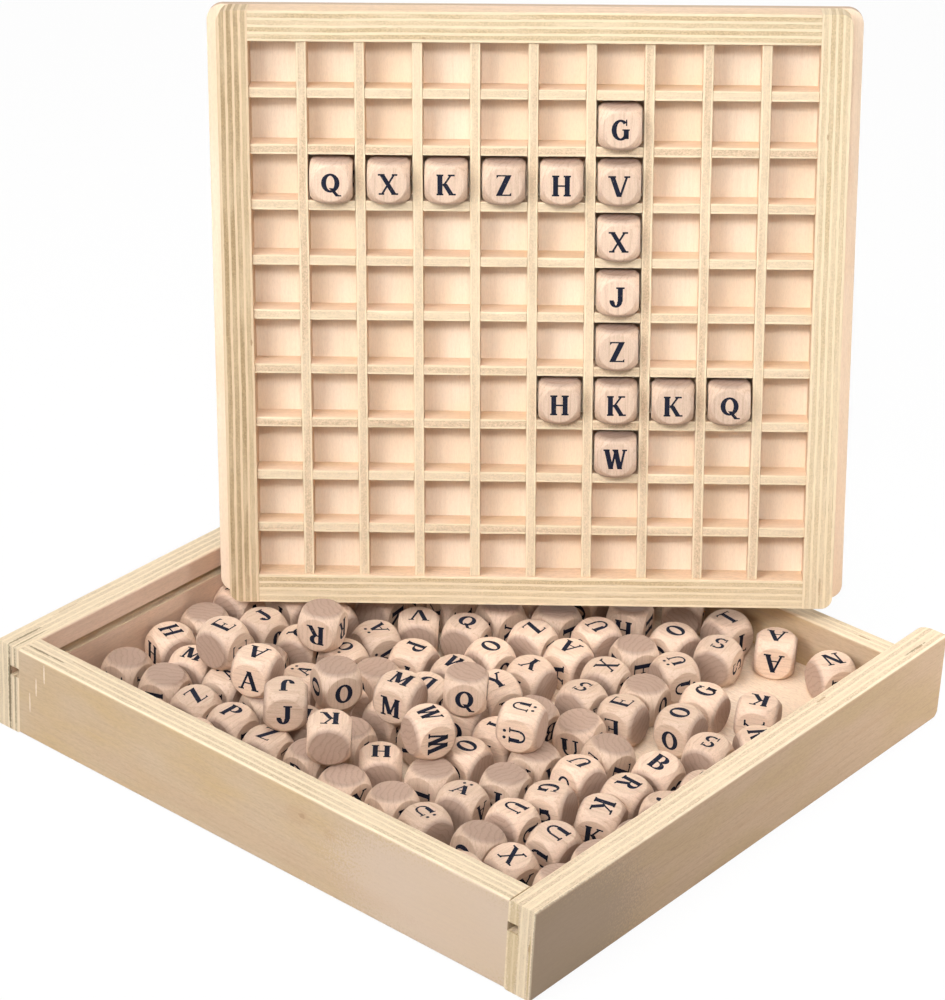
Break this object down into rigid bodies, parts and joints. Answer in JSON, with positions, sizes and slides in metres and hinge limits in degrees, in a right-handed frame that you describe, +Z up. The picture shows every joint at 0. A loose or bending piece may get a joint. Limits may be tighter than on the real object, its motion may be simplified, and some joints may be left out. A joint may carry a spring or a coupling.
{
  "type": "word dice game case",
  "caption": "Square plywood box of loose letter dice, with a sliding lid whose grid of cells is the playing board, shown lifted out and standing in the box.",
  "frame": {"origin": "centre of the box's footprint, on the surface that the box stands on", "axes": "+X along the two long walls, from the full end wall to the low end wall; +Y across the box, from the near long wall to the far long wall; +Z up"},
  "size_m": [0.2746, 0.2723, 0.2647],
  "materials": {
    "long_wall_ply": "sanded and clear coated plywood, plies on the edges",
    "end_wall_ply": "sanded and clear coated plywood, plies on the edges",
    "thin_ply": "thin sanded plywood, satin",
    "rail_ply": "sanded plywood edges, satin",
    "strip_ply": "three thin plies on edge, satin",
    "die_wood": "smooth beech with dark printed letters"
  },
  "bodies": {
    "box": {"near_long_wall": "long_wall_ply", "far_long_wall": "long_wall_ply", "full_end_wall": "end_wall_ply", "low_end_wall": "end_wall_ply", "floor_panel": "thin_ply", "loose_dice": "die_wood", "top_dice": "die_wood"},
    "lid": {"lid_panel": "thin_ply", "lid_rail_left": "rail_ply", "lid_rail_right": "rail_ply", "lid_rail_top": "rail_ply", "lid_rail_bottom": "rail_ply", "column_strip_1": "strip_ply", "column_strip_2": "strip_ply", "column_strip_3": "strip_ply", "column_strip_4": "strip_ply", "column_strip_5": "strip_ply", "column_strip_6": "strip_ply", "column_strip_7": "strip_ply", "column_strip_8": "strip_ply", "column_strip_9": "strip_ply", "row_strip_1": "strip_ply", "row_strip_2": "strip_ply", "row_strip_3": "strip_ply", "row_strip_4": "strip_ply", "row_strip_5": "strip_ply", "row_strip_6": "strip_ply", "row_strip_7": "strip_ply", "row_strip_8": "strip_ply", "row_strip_9": "strip_ply"},
    "die_1": {"placed_die_1": "die_wood"},
    "die_2": {"placed_die_2": "die_wood"},
    "die_3": {"placed_die_3": "die_wood"},
    "die_4": {"placed_die_4": "die_wood"},
    "die_5": {"placed_die_5": "die_wood"},
    "die_6": {"placed_die_6": "die_wood"},
    "die_7": {"placed_die_7": "die_wood"},
    "die_8": {"placed_die_8": "die_wood"},
    "die_9": {"placed_die_9": "die_wood"},
    "die_10": {"placed_die_10": "die_wood"},
    "die_11": {"placed_die_11": "die_wood"},
    "die_12": {"placed_die_12": "die_wood"},
    "die_13": {"placed_die_13": "die_wood"},
    "die_14": {"placed_die_14": "die_wood"},
    "die_15": {"placed_die_15": "die_wood"}
  },
  "joints": [
    {"name": "lid_lift", "type": "slide", "parent": "box", "child": "lid", "axis": [0, 0, 1], "range_m": [0, 0.06]},
    {"name": "die_1_pull", "type": "slide", "parent": "lid", "child": "die_1", "axis": [-0.7885, -0.5991, 0.139], "range_m": [0, 0.025]},
    {"name": "die_2_pull", "type": "slide", "parent": "lid", "child": "die_2", "axis": [-0.7885, -0.5991, 0.139], "range_m": [0, 0.025]},
    {"name": "die_3_pull", "type": "slide", "parent": "lid", "child": "die_3", "axis": [-0.7885, -0.5991, 0.139], "range_m": [0, 0.025]},
    {"name": "die_4_pull", "type": "slide", "parent": "lid", "child": "die_4", "axis": [-0.7885, -0.5991, 0.139], "range_m": [0, 0.025]},
    {"name": "die_5_pull", "type": "slide", "parent": "lid", "child": "die_5", "axis": [-0.7885, -0.5991, 0.139], "range_m": [0, 0.025]},
    {"name": "die_6_pull", "type": "slide", "parent": "lid", "child": "die_6", "axis": [-0.7885, -0.5991, 0.139], "range_m": [0, 0.025]},
    {"name": "die_7_pull", "type": "slide", "parent": "lid", "child": "die_7", "axis": [-0.7885, -0.5991, 0.139], "range_m": [0, 0.025]},
    {"name": "die_8_pull", "type": "slide", "parent": "lid", "child": "die_8", "axis": [-0.7885, -0.5991, 0.139], "range_m": [0, 0.025]},
    {"name": "die_9_pull", "type": "slide", "parent": "lid", "child": "die_9", "axis": [-0.7885, -0.5991, 0.139], "range_m": [0, 0.025]},
    {"name": "die_10_pull", "type": "slide", "parent": "lid", "child": "die_10", "axis": [-0.7885, -0.5991, 0.139], "range_m": [0, 0.025]},
    {"name": "die_11_pull", "type": "slide", "parent": "lid", "child": "die_11", "axis": [-0.7885, -0.5991, 0.139], "range_m": [0, 0.025]},
    {"name": "die_12_pull", "type": "slide", "parent": "lid", "child": "die_12", "axis": [-0.7885, -0.5991, 0.139], "range_m": [0, 0.025]},
    {"name": "die_13_pull", "type": "slide", "parent": "lid", "child": "die_13", "axis": [-0.7885, -0.5991, 0.139], "range_m": [0, 0.025]},
    {"name": "die_14_pull", "type": "slide", "parent": "lid", "child": "die_14", "axis": [-0.7885, -0.5991, 0.139], "range_m": [0, 0.025]},
    {"name": "die_15_pull", "type": "slide", "parent": "lid", "child": "die_15", "axis": [-0.7885, -0.5991, 0.139], "range_m": [0, 0.025]}
  ]
}
